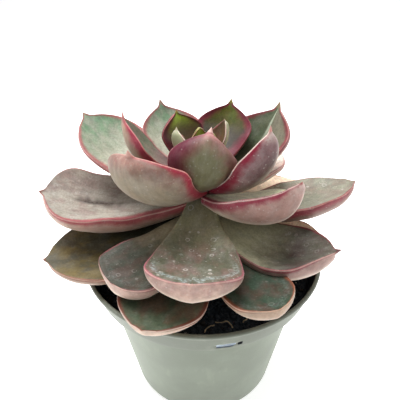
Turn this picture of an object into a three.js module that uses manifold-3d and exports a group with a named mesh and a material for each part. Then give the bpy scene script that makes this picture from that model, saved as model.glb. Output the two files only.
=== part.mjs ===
// A rosette succulent in a thin plastic nursery pot.
//
// Millimetres, +Z up. The origin is the middle of the pot's foot, on the ground.
// The plant is a short woody stem with thick leaves set around it in a spiral,
// each leaf its own piece. The stem is rooted in the soil, and the soil fills
// the pot to a little below its rim.
//
// An azimuth is in degrees, counterclockwise from +X when seen from above.

import * as THREE from 'three';
import { LoftGeometry } from 'three/addons/geometries/LoftGeometry.js';
import { mergeVertices } from 'three/addons/utils/BufferGeometryUtils.js';
import Module from 'manifold-3d';

const wasm = await Module();
wasm.setup();

// ---- driving dimensions ---------------------------------------------------

const GAP = 0.3;             // clearance between pieces that touch

const POT_HEIGHT = 58;
const RIM_RADIUS = 42.5;     // outside of the rolled lip
const COLLAR_HEIGHT = 9.6;   // band below the lip
const COLLAR_FOOT_RADIUS = 39.5;
const COLLAR_STEP = 3.5;     // how far the collar stands out from the body
const FOOT_RADIUS = 28.5;    // body where it meets the rounded foot
const FOOT_ROUND = 4;
const WALL = 1.2;
const FLOOR = 1.4;
const LIP_ROUND = 0.4;       // the lip's outer corner
const SHELF_RISE = 0.2;      // how much the collar's foot slopes up outwards
const POT_SIDES = 56;

const DRAIN_HOLES = 5;
const DRAIN_RADIUS = 3;
const DRAIN_RING = 17;

const SLOT_AZIMUTH = -79;    // plain tag slot pressed into the collar
const SLOT_BELOW_LIP = 6.6;
const SLOT_WIDTH = 8.4;
const SLOT_HEIGHT = 2;
const SLOT_DEPTH = 0.5;

const SOIL_TOP = 50.6;       // at the collar's wall
const SOIL_CROWN = 51.2;     // at the stem
const SOIL_EDGE_DROP = 0.3;  // the soil's top dips beside the wall
const SOIL_SIDES = 40;

const ROOT_DEPTH = 30;       // underside of the root plug
const STEM_TOP = 97;
const STEM_SIDES = 20;
// radius of the stem at a height: the root plug, the bare neck, the growing tip
const STEM = [
  [ROOT_DEPTH, 4.0],
  [ROOT_DEPTH + 4, 6.6],
  [SOIL_CROWN + 2, 6.4],
  [66, 5.4],
  [80, 4.6],
  [90, 3.2],
  [STEM_TOP - 1.2, 1.8],
];

const LEAF_SIDES = 10;       // points around a leaf's section
const LEAF_STEPS = 10;       // sections along a leaf
const LEAF_END = 0.995;      // share of the midrib where the last section stands
const LEAF_SINK = 1.2;       // how deep a leaf starts inside the stem before it is cut back
const UPPER_SHARE = 0.14;    // part of a leaf's thickness that lies above its margins
const FULLEST = 0.55;        // share of its length where a leaf is thickest
const FOOT_THICKNESS = 0.55; // thickness at its foot as a share of the thickest

// How a leaf of each age is shaped: width at its foot as a share of its widest,
// where it is widest, how far its margins curl up, and the bluntness of its tip.
const AGES = {
  outer: { footing: 0.36, widest: 0.68, cup: 0.16, blunt: 2.1, soft: 0.8 },
  middle: { footing: 0.4, widest: 0.66, cup: 0.22, blunt: 2.1, soft: 0.85 },
  inner: { footing: 0.42, widest: 0.62, cup: 0.3, blunt: 2.0, soft: 0.9 },
  heart: { footing: 0.6, widest: 0.45, cup: 0.4, blunt: 1.6, soft: 1.0 },
};

// Every leaf, from the lowest to the growing tip. turn: its azimuth. foot: the
// height where it leaves the stem. reach, rise: its tip's radius and height.
// sag: how far it dips below the straight line from foot to tip. roll: its
// twist, lifting the left margin. sway: how far the tip stands off to the left.
// fall: how late it thins out towards its tip. Other keys stand in for those of AGES.
const LEAVES = [
  { age: 'outer', turn: 40, foot: 65, reach: 46, rise: 62, width: 25, thick: 4.8, sag: 1.5 },
  { age: 'outer', turn: 112, foot: 65.5, reach: 47, rise: 62.5, width: 26, thick: 5, sag: 1.5 },
  { age: 'outer', turn: -110, foot: 66, reach: 48, rise: 64, width: 27, thick: 5, sag: 3.5 },
  { age: 'outer', turn: 165, foot: 66, reach: 48, rise: 63, width: 26, thick: 5, sag: 2 },
  { age: 'outer', turn: -12, foot: 67, reach: 43, rise: 65.5, width: 25, thick: 5, sag: 2.5 },
  { age: 'outer', turn: 74, foot: 68.5, reach: 50, rise: 70, width: 26, thick: 5, sag: 2.5 },
  { age: 'outer', turn: -160, foot: 69, reach: 53.5, rise: 66.5, width: 29, thick: 7, sag: 3,
    roll: -7, widest: 0.62 },
  { age: 'outer', turn: -65.5, foot: 69, reach: 48.3, rise: 70.3, width: 19.5, thick: 6.6,
    sag: 4, roll: 5, blunt: 3, soft: 0.55 },
  { age: 'outer', turn: 134, foot: 72, reach: 50, rise: 74, width: 26, thick: 5.4, sag: 3 },
  { age: 'outer', turn: -126, foot: 74, reach: 42.5, rise: 70, width: 23, thick: 9, sag: 2.5,
    roll: -3, sway: -1.5, footing: 0.34, widest: 0.76, blunt: 3, soft: 0.65 },
  { age: 'middle', turn: 30, foot: 72, reach: 48, rise: 71.5, width: 26, thick: 5.4, sag: 3 },
  { age: 'middle', turn: 100, foot: 78, reach: 50, rise: 84, width: 27, thick: 5.6, sag: 4 },
  { age: 'middle', turn: -37, foot: 76, reach: 46.5, rise: 74.7, width: 26, thick: 7, sag: 7.5,
    roll: 1, sway: 3, fall: 3 },
  { age: 'middle', turn: 170.5, foot: 80, reach: 52.5, rise: 82.5, width: 29, thick: 9.4,
    sag: 6.3, roll: -3, sway: 11.5, widest: 0.66, cup: 0.27, blunt: 4, soft: 0.7, fall: 3 },
  { age: 'middle', turn: -97, foot: 81, reach: 43, rise: 78, width: 27.5, thick: 9.4, sag: 6,
    sway: 2.5, footing: 0.3, widest: 0.77, cup: 0.1, blunt: 2.2, soft: 0.5 },
  { age: 'middle', turn: 5, foot: 77, reach: 53, rise: 82, width: 27.5, thick: 5.8, sag: 5.5,
    roll: -10, footing: 0.5, widest: 0.6, cup: 0.27, fall: 3 },
  { age: 'middle', turn: 45, foot: 83, reach: 39.5, rise: 85.5, width: 24, thick: 5.4, sag: 3 },
  { age: 'middle', turn: 153, foot: 83, reach: 48, rise: 101, width: 27, thick: 5.5, sag: 5, roll: -8 },
  { age: 'inner', turn: -32, foot: 81, reach: 33.8, rise: 94, width: 26, thick: 7.8, sag: 5,
    roll: -16, sway: -1.5, footing: 0.5, widest: 0.42, cup: 0.22, blunt: 1.3, fall: 1.5 },
  { age: 'inner', turn: 25.5, foot: 86, reach: 31, rise: 104.8, width: 30.5, thick: 5, sag: 5,
    sway: 3.5 },
  { age: 'inner', turn: -140, foot: 83, reach: 27.5, rise: 102.5, width: 29, thick: 5.4, sag: 6,
    roll: 19, sway: 1, widest: 0.6, cup: 0.33, blunt: 3, soft: 0.7 },
  { age: 'inner', turn: 119, foot: 87, reach: 32, rise: 103, width: 24, thick: 5, sag: 4.5, roll: 4 },
  { age: 'inner', turn: 66, foot: 89, reach: 25.5, rise: 104.7, width: 21, thick: 4.8, sag: 4 },
  { age: 'inner', turn: 180, foot: 90, reach: 24.5, rise: 107.3, width: 20, thick: 3.2, sag: 6,
    roll: 12, fall: 2 },
  { age: 'inner', turn: -35, foot: 83.5, reach: 23.6, rise: 107.6, width: 15.5, thick: 4.2,
    sag: 5.5, roll: -14, sway: -0.5 },
  { age: 'inner', turn: 132, foot: 91, reach: 13, rise: 105.7, width: 17, thick: 3.6, sag: 3,
    footing: 0.6 },
  { age: 'inner', turn: -95, foot: 85, reach: 8.3, rise: 105.3, width: 21.5, thick: 4.4, sag: 6,
    roll: 14, sway: 3, footing: 0.6, widest: 0.64, cup: 0.22, blunt: 2, soft: 0.85 },
  { age: 'heart', turn: 58, foot: 93, reach: 5.5, rise: 100.5, width: 9, thick: 2.4, sag: 1.5 },
  { age: 'heart', turn: 30, foot: 93, reach: 8.3, rise: 104.9, width: 10, thick: 2.4, sag: 1.5 },
  { age: 'heart', turn: 200, foot: 92, reach: 8.5, rise: 104.6, width: 13.3, thick: 2.4,
    sag: 1.5, footing: 0.75 },
  { age: 'heart', turn: 110, foot: 95, reach: 2.2, rise: 103.2, width: 7.5, thick: 2, sag: 1.2 },
];

// ---- colours ----------------------------------------------------------------

const POT_PLASTIC = { color: 0xa3ad9c, roughness: 0.6, metalness: 0 };
const SOIL_EARTH = { color: 0x2b231d, roughness: 1, metalness: 0 };
const STEM_BARK = { color: 0x6b5a44, roughness: 0.9, metalness: 0 };
const LEAF_SKIN = {
  outer: { color: 0x5a6149, roughness: 0.55, metalness: 0 },
  middle: { color: 0x7d7466, roughness: 0.6, metalness: 0 },
  inner: { color: 0x9a7a74, roughness: 0.6, metalness: 0 },
  heart: { color: 0x8f9a55, roughness: 0.5, metalness: 0 },
};

// ---- solids and booleans --------------------------------------------------

function toSolid(shape) {
  const geometry = new THREE.BufferGeometry().copy(shape);
  geometry.deleteAttribute('normal');
  geometry.deleteAttribute('uv');
  const welded = mergeVertices(geometry);
  const vertProperties = new Float32Array(welded.attributes.position.array);
  const triVerts = new Uint32Array(welded.index.array);
  return new wasm.Manifold(new wasm.Mesh({ numProp: 3, vertProperties, triVerts }));
}

function toGeometry(solid) {
  const { vertProperties, triVerts } = solid.getMesh();
  const geometry = new THREE.BufferGeometry();
  geometry.setAttribute('position', new THREE.BufferAttribute(vertProperties, 3));
  geometry.setIndex(new THREE.BufferAttribute(triVerts, 1));
  geometry.computeVertexNormals();
  return geometry;
}

function largestBody(solid) {
  const bodies = solid.decompose();
  return bodies.reduce((best, body) => (body.volume() > best.volume() ? body : best));
}

function piece(name, solid, finish) {
  const mesh = new THREE.Mesh(toGeometry(solid), new THREE.MeshStandardMaterial(finish));
  mesh.name = name;
  return mesh;
}

// A solid of revolution about Z from [radius, height] pairs, closed on the axis.
function turned(profile, sides) {
  const points = profile.map(([radius, height]) => new THREE.Vector2(radius, height));
  const geometry = new THREE.LatheGeometry(points, sides);
  geometry.rotateX(Math.PI / 2);   // three's lathe turns about Y
  return toSolid(geometry);
}

// ---- pot ------------------------------------------------------------------

const bodyTop = POT_HEIGHT - COLLAR_HEIGHT;
const bodyTopRadius = COLLAR_FOOT_RADIUS - COLLAR_STEP;
const ledge = bodyTop + WALL;   // inside, where the collar steps out

function bodyRadius(height) {
  const rise = (height - FOOT_ROUND) / (bodyTop - FOOT_ROUND);
  return THREE.MathUtils.lerp(FOOT_RADIUS, bodyTopRadius, rise);
}

function collarRadius(height) {
  const rise = (height - bodyTop) / COLLAR_HEIGHT;
  return THREE.MathUtils.lerp(COLLAR_FOOT_RADIUS, RIM_RADIUS, rise);
}

function potProfile() {
  const profile = [[0, 0]];
  const steps = 3;
  for (let i = 0; i <= steps; i++) {
    const angle = (i / steps) * (Math.PI / 2);
    const radius = FOOT_RADIUS - FOOT_ROUND * (1 - Math.sin(angle));
    profile.push([radius, FOOT_ROUND * (1 - Math.cos(angle))]);
  }
  profile.push([bodyTopRadius, bodyTop]);
  profile.push([COLLAR_FOOT_RADIUS, bodyTop + SHELF_RISE]);
  profile.push([RIM_RADIUS - 0.1, POT_HEIGHT - 0.9]);
  profile.push([RIM_RADIUS, POT_HEIGHT - LIP_ROUND]);
  profile.push([RIM_RADIUS - LIP_ROUND, POT_HEIGHT]);
  profile.push([RIM_RADIUS - WALL, POT_HEIGHT]);
  profile.push([RIM_RADIUS - WALL - 0.2, POT_HEIGHT - 0.6]);
  profile.push([collarRadius(ledge + SHELF_RISE) - WALL, ledge + SHELF_RISE]);
  profile.push([bodyTopRadius - WALL, ledge]);
  profile.push([bodyRadius(FOOT_ROUND + FLOOR) - WALL, FOOT_ROUND + FLOOR]);
  profile.push([FOOT_RADIUS - FOOT_ROUND, FLOOR]);
  profile.push([0, FLOOR]);
  return profile;
}

function drainHoles() {
  const holes = [];
  for (let i = 0; i < DRAIN_HOLES; i++) {
    const azimuth = ((i + 0.5) / DRAIN_HOLES) * Math.PI * 2;
    const hole = new THREE.CylinderGeometry(DRAIN_RADIUS, DRAIN_RADIUS, 4 * FLOOR, 16);
    hole.rotateX(Math.PI / 2);
    hole.translate(DRAIN_RING * Math.cos(azimuth), DRAIN_RING * Math.sin(azimuth), 0);
    holes.push(toSolid(hole));
  }
  return holes;
}

// A shallow bare recess in the collar, where such pots take a tag.
function tagSlot() {
  const azimuth = THREE.MathUtils.degToRad(SLOT_AZIMUTH);
  const height = POT_HEIGHT - SLOT_BELOW_LIP;
  const face = collarRadius(height);
  const slot = new THREE.BoxGeometry(2 * SLOT_DEPTH, SLOT_WIDTH, SLOT_HEIGHT);
  slot.rotateY(Math.atan2(RIM_RADIUS - COLLAR_FOOT_RADIUS, COLLAR_HEIGHT));
  slot.rotateZ(azimuth);
  slot.translate(face * Math.cos(azimuth), face * Math.sin(azimuth), height);
  return toSolid(slot);
}

function makePot() {
  let pot = turned(potProfile(), POT_SIDES);
  for (const hole of drainHoles()) pot = pot.subtract(hole);
  return pot.subtract(tagSlot());
}

// ---- soil and stem --------------------------------------------------------

function stemRadius(height) {
  for (let i = 1; i < STEM.length; i++) {
    const [low, lowRadius] = STEM[i - 1];
    const [high, highRadius] = STEM[i];
    if (height > high) continue;
    return THREE.MathUtils.mapLinear(Math.max(height, low), low, high, lowRadius, highRadius);
  }
  return STEM.at(-1)[1];
}

// The stem, with its surface moved out by grow.
function makeStem(grow = 0) {
  const sides = STEM.map(([height, radius], i) => [radius + grow, i ? height : height - grow]);
  return turned([[0, ROOT_DEPTH - grow], ...sides, [0, STEM_TOP + grow]], STEM_SIDES);
}

function makeSoil() {
  const edge = collarRadius(SOIL_TOP - SOIL_EDGE_DROP) - WALL - GAP;
  const profile = [
    [0, FLOOR + GAP],
    [FOOT_RADIUS - FOOT_ROUND - GAP, FLOOR + GAP],
    [bodyRadius(FOOT_ROUND + FLOOR) - WALL - GAP, FOOT_ROUND + FLOOR + GAP],
    [bodyTopRadius - WALL - GAP, ledge + GAP],
    [edge - 0.4, ledge + SHELF_RISE + GAP],
    [edge, SOIL_TOP - SOIL_EDGE_DROP],
    [edge - 1.5, SOIL_TOP],
    [edge * 0.6, SOIL_TOP + 0.3],
    [0, SOIL_CROWN],
  ];
  return turned(profile, SOIL_SIDES).subtract(makeStem(GAP));
}

// ---- leaves ---------------------------------------------------------------

function halfWidth(along, leaf) {
  const { footing, widest, blunt, soft } = leaf;
  if (along < widest) {
    const swell = Math.sin((Math.PI / 2) * (along / widest)) ** 1.25;
    return (leaf.width / 2) * (footing + (1 - footing) * swell);
  }
  const past = (along - widest) / (1 - widest);
  return (leaf.width / 2) * Math.max(1 - past ** blunt, 0) ** soft;
}

function thickness(along, leaf) {
  if (along < FULLEST) {
    const swell = Math.sin((Math.PI / 2) * (along / FULLEST));
    return leaf.thick * (FOOT_THICKNESS + (1 - FOOT_THICKNESS) * swell);
  }
  const past = (along - FULLEST) / (1 - FULLEST);
  return leaf.thick * Math.max(1 - past ** leaf.fall, 0) ** 0.6;
}

// The midrib, in the leaf's own plane: x away from the stem, y to the left, z up.
function midrib(leaf) {
  const start = new THREE.Vector3(stemRadius(leaf.foot) - LEAF_SINK, 0, leaf.foot);
  const tip = new THREE.Vector3(leaf.reach, leaf.sway, leaf.rise);
  const run = tip.clone().sub(start);
  const below = new THREE.Vector3(run.z, 0, -run.x).normalize();
  const bend = start.clone().addScaledVector(run, 0.6).addScaledVector(below, 2 * leaf.sag);
  bend.y = leaf.sway / 4;
  return new THREE.QuadraticBezierCurve3(start, bend, tip);
}

// The section across a leaf at a share of its length: a shallow cup on top, a
// deep belly below. Its outline is moved out by grow, and its plane forward by shift.
function section(leaf, rib, along, grow, shift) {
  const forward = rib.getTangent(along);
  const centre = rib.getPoint(along).addScaledVector(forward, shift);
  const left = new THREE.Vector3(0, 1, 0).addScaledVector(forward, -forward.y).normalize();
  const up = new THREE.Vector3().crossVectors(forward, left);
  const roll = THREE.MathUtils.degToRad(leaf.roll);
  left.applyAxisAngle(forward, roll);
  up.applyAxisAngle(forward, roll);
  const half = halfWidth(along, leaf);
  const thick = thickness(along, leaf);
  const curl = leaf.cup * (half + 2 * grow) * Math.min(along / 0.5, 1);
  const points = [];
  for (let i = 0; i < LEAF_SIDES; i++) {
    const angle = (i / LEAF_SIDES) * Math.PI * 2;
    const across = Math.cos(angle);
    const lift = Math.sin(angle);
    const skin = lift > 0
      ? UPPER_SHARE * lift ** 0.7 * thick
      : -(1 - UPPER_SHARE) * (-lift) ** 0.85 * thick;
    const point = centre.clone();
    point.addScaledVector(left, across * (half + grow));
    point.addScaledVector(up, skin + lift * grow + curl * across ** 2);
    points.push(point);
  }
  return points;
}

function makeLeaf(leaf, grow = 0) {
  const rib = midrib(leaf);
  const sections = [];
  for (let i = 0; i <= LEAF_STEPS; i++) {
    const share = i / LEAF_STEPS;
    const along = 0.65 * share + 0.35 * Math.sin((Math.PI / 2) * share);
    const shift = i === 0 ? -grow : i === LEAF_STEPS ? grow : 0;
    sections.push(section(leaf, rib, Math.min(along, LEAF_END), grow, shift));
  }
  const geometry = new LoftGeometry(sections, { capStart: true, capEnd: true });
  geometry.rotateZ(THREE.MathUtils.degToRad(leaf.turn));
  return toSolid(geometry);
}

// Each leaf is cut back to the stem, and pressed in where a younger leaf lies on it.
function makeLeaves() {
  const leaves = LEAVES.map((leaf) => ({ roll: 0, sway: 0, fall: 4, ...AGES[leaf.age], ...leaf }));
  const solids = leaves.map((leaf) => makeLeaf(leaf));
  const grown = leaves.map((leaf) => makeLeaf(leaf, GAP));
  const seat = makeStem(GAP);
  const counts = {};
  return leaves.map((leaf, i) => {
    let solid = solids[i].subtract(seat);
    for (let j = i + 1; j < leaves.length; j++) {
      if (solid.intersect(grown[j]).isEmpty()) continue;
      solid = solid.subtract(grown[j]);
    }
    counts[leaf.age] = (counts[leaf.age] ?? 0) + 1;
    const name = `${leaf.age}_leaf_${String(counts[leaf.age]).padStart(2, '0')}`;
    return piece(name, largestBody(solid), LEAF_SKIN[leaf.age]);
  });
}

// ---- the whole plant ------------------------------------------------------

const plant = new THREE.Group();
plant.add(piece('pot', makePot(), POT_PLASTIC));
plant.add(piece('soil', makeSoil(), SOIL_EARTH));
plant.add(piece('stem', makeStem(), STEM_BARK));
plant.add(...makeLeaves());

export default plant;
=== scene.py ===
"""A rosette succulent in a small round nursery pot, on a pale table in soft light.

Sizes are in millimetres up to the moment a mesh is made, and in metres after it.
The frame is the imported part's: +Z up, origin in the middle of the pot's foot.
An azimuth is in degrees, counterclockwise from +X when seen from above.
"""

import math
from typing import NamedTuple

import bpy
import numpy as np
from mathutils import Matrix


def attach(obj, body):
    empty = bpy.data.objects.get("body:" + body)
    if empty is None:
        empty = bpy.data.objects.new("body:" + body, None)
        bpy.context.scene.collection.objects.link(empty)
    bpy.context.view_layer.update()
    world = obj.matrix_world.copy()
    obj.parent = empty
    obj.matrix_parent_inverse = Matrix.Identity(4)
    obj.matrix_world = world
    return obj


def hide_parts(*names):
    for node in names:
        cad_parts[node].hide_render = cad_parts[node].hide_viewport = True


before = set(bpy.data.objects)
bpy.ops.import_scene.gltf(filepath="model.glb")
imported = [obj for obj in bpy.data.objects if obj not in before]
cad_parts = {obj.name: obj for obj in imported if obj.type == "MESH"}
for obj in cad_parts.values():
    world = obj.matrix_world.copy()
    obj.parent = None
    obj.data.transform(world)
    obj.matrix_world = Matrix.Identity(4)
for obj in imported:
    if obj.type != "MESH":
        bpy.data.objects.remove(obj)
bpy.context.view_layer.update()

MM = 0.001

# ---- sizes shared with the solid model -----------------------------------------------

POT_HEIGHT = 58
RIM_RADIUS = 42.5
COLLAR_HEIGHT = 9.6
COLLAR_FOOT_RADIUS = 39.5
COLLAR_STEP = 3.5
FOOT_RADIUS = 28.5
FOOT_ROUND = 4
WALL = 1.2
FLOOR = 1.4
DRAIN_HOLES = 5
DRAIN_RADIUS = 3
DRAIN_RING = 17
SLOT_AZIMUTH = -79
SLOT_BELOW_LIP = 6.6
GAP = 0.3                    # between the pot and the soil

SOIL_TOP = 50.6
SOIL_CROWN = 51.2

STEM_TOP = 97
STEM = [(30, 4.0), (34, 6.6), (53, 6.4), (66, 5.4), (80, 4.6), (90, 3.2), (95.8, 1.8)]

# ---- the leaves' sizes ---------------------------------------------------------------
# footing: the width at the stem, as a share of the largest. widest: the share of the
# length where the leaf is widest. cup: how far the margins curl up, as a share of half
# the width. blunt, soft: how late and how gently the outline falls to the tip.

AGES = {
    "outer": dict(footing=0.36, widest=0.68, cup=0.16, blunt=2.1, soft=0.8),
    "middle": dict(footing=0.4, widest=0.66, cup=0.22, blunt=2.1, soft=0.85),
    "inner": dict(footing=0.42, widest=0.62, cup=0.3, blunt=2.0, soft=0.9),
    "heart": dict(footing=0.6, widest=0.45, cup=0.4, blunt=1.6, soft=1.0),
}

# roll: lifts the left margin, in degrees. sway: the tip's place to the left. point: the
# length of the small point at the tip. keel: how ridged the underside is at the tip.
# fall: how late the thickness falls.
PLAIN_LEAF = dict(roll=0, sway=0, point=1.6, keel=0.25, fall=4)

# turn: azimuth. foot: height on the stem. reach, rise: the tip's radius and height. sag:
# dip below the straight line. look: the leaf's colours, in LOOKS. The row ends with what
# is the leaf's own, in place of the values above.
LEAF_COLUMNS = ("turn", "foot", "reach", "rise", "width", "thick", "sag", "look")
LEAVES = {
    "outer": [
        (40, 65, 46, 62, 25, 4.8, 1.5, "shaded", {}),
        (112, 65.5, 47, 62.5, 26, 5, 1.5, "shaded", {}),
        (-110, 66, 48, 64, 27, 5, 3.5, "fern", dict(point=0.7)),
        (165, 66, 48, 63, 26, 5, 2, "olive", {}),
        (-12, 67, 43, 65.5, 25, 5, 2.5, "tan", {}),
        (74, 68.5, 50, 70, 26, 5, 2.5, "shaded", {}),
        (-160, 69, 53.5, 66.5, 29, 7, 3, "olive", dict(roll=-7, widest=0.62)),
        (-65.5, 69, 48.3, 70.3, 19.5, 6.6, 4, "bottle", dict(roll=5, blunt=3, soft=0.55, point=0.2)),
        (134, 72, 50, 74, 26, 5.4, 3, "olive", {}),
        (-126, 74, 42.5, 70, 23, 9, 2.5, "dusky",
         dict(roll=-3, sway=-1.5, footing=0.34, widest=0.76, blunt=3, soft=0.65, point=0.3)),
    ],
    "middle": [
        (30, 72, 48, 71.5, 26, 5.4, 3, "tan", {}),
        (100, 78, 50, 84, 27, 5.6, 4, "mauve", {}),
        (-37, 76, 46.5, 74.7, 26, 7, 7.5, "smoky", dict(roll=1, sway=3, fall=3, point=2.4)),
        (170.5, 80, 52.5, 82.5, 29, 9.4, 6.3, "frosted",
         dict(roll=-3, sway=11.5, cup=0.27, blunt=4, soft=0.7, fall=3)),
        (-97, 81, 43, 78, 27.5, 9.4, 6, "spotted",
         dict(sway=2.5, footing=0.3, widest=0.77, cup=0.1, blunt=2.2, soft=0.5, point=0)),
        (5, 77, 53, 82, 27.5, 5.8, 5.5, "powdered",
         dict(roll=-10, footing=0.5, widest=0.6, cup=0.27, fall=3, point=1)),
        (45, 83, 39.5, 85.5, 24, 5.4, 3, "blush", {}),
        (153, 83, 48, 101, 27, 5.5, 5, "jade", dict(roll=-8, point=2)),
    ],
    "inner": [
        (-32, 81, 33.8, 94, 26, 7.8, 5, "rosy",
         dict(roll=-16, sway=-1.5, footing=0.5, widest=0.42, cup=0.22, blunt=1.3, fall=1.5)),
        (25.5, 86, 31, 104.8, 30.5, 5, 5, "sage", dict(sway=3.5, point=3.8)),
        (-140, 83, 27.5, 102.5, 29, 5.4, 6, "clay",
         dict(roll=19, sway=1, widest=0.6, cup=0.33, blunt=3, soft=0.7, point=2.8)),
        (119, 87, 32, 103, 24, 5, 4.5, "jade", dict(roll=4, point=3.6)),
        (66, 89, 25.5, 104.7, 21, 4.8, 4, "moss", dict(point=3.3)),
        (180, 90, 24.5, 107.3, 20, 3.2, 6, "wine", dict(roll=12, fall=2, point=3.5)),
        (-35, 83.5, 23.6, 107.6, 15.5, 4.2, 5.5, "plum", dict(roll=-14, sway=-0.5, point=3)),
        (132, 91, 13, 105.7, 17, 3.6, 3, "limed", dict(footing=0.6, point=3)),
        (-95, 85, 8.3, 105.3, 21.5, 4.4, 6, "heartward",
         dict(roll=14, sway=3, footing=0.6, widest=0.64, cup=0.22, soft=0.85, point=3.2)),
    ],
    "heart": [
        (58, 93, 5.5, 100.5, 9, 2.4, 1.5, "bud", {}),
        (30, 93, 8.3, 104.9, 10, 2.4, 1.5, "pale", dict(point=2.4)),
        (200, 92, 8.5, 104.6, 13.3, 2.4, 1.5, "pale", dict(footing=0.75, point=3.5)),
        (110, 95, 2.2, 103.2, 7.5, 2, 1.2, "bud", {}),
    ],
}

# ---- the leaves' colours -------------------------------------------------------------

class Look(NamedTuple):
    """The colours of a leaf, in 0 to 255 as seen on a screen, and how they lie on it."""
    face: tuple              # the upper side
    face_patches: tuple      # the patches in it
    foot: tuple              # near the stem
    back: tuple              # the underside by the margin
    belly: tuple             # the middle of the underside
    flush: tuple             # the band along the margin
    edge: tuple              # the margin itself
    band: float              # the flush's width on the upper side, in mm
    back_band: float         # the flush's width on the underside, in mm
    bloom: float             # how much waxy powder
    spots: float             # how many dried drops above and flecks below
    slant: float = 1.0       # how strong the painted sheen is: the underside is painted paler where it is seen at a slant
    lean: float = 0.0        # above 0 the flush is wider on the left, below 0 on the right
    foot_flush: float = 1.0  # how much of the flush's width is kept near the stem
    foot_to: float = 0.62    # the share of the length up to which foot reaches
    film: float = 0.0        # how much dried film inside the margin
    rib: float = 0.0         # how strong the pale fold in the middle is
    point: tuple = (112, 72, 54)  # the small point at the tip


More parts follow.
